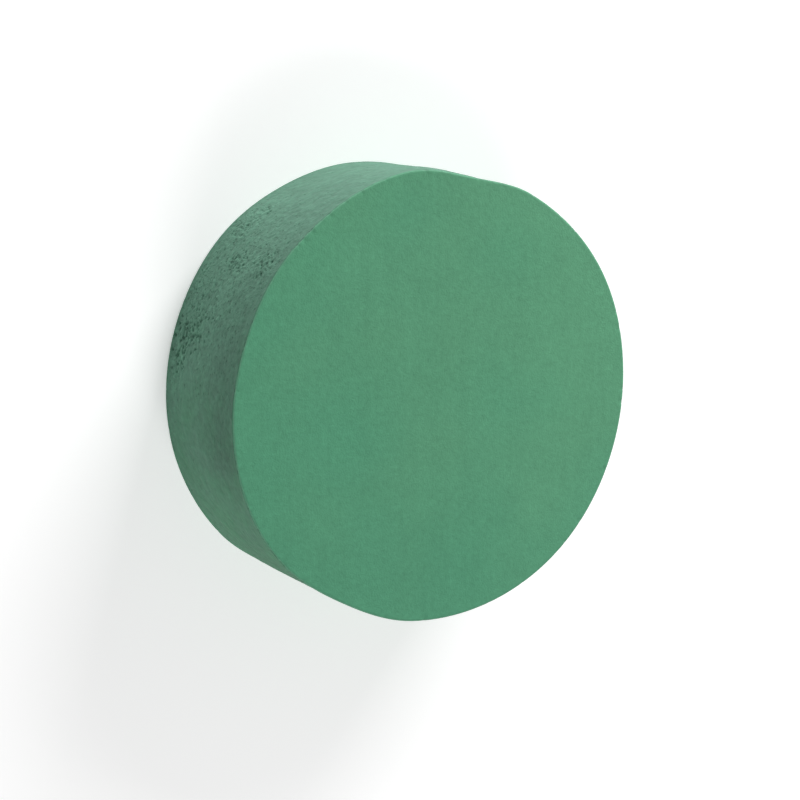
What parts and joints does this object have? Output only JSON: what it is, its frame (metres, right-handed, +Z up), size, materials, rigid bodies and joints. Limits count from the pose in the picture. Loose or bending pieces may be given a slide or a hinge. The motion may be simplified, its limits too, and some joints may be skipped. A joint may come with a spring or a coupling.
{
  "type": "floral foam disc",
  "caption": "Round disc of rigid wet floral foam with two flat sawn faces and a moulded rim, for holding cut flower stems in a dish.",
  "frame": {"origin": "centre of the sawn face that the disc lies on", "axes": "+Z up along the disc's axis, from the face it lies on to the upper face; X and Y are any two directions across the round disc"},
  "size_m": [0.127, 0.127, 0.045],
  "materials": {
    "green_foam": "dry open-cell phenolic foam, fully matte: fine even grain on the two sawn faces, a duller grey-green skin with small blowholes round the moulded rim"
  },
  "bodies": {
    "root": {"foam_disc": "green_foam"}
  },
  "joints": []
}
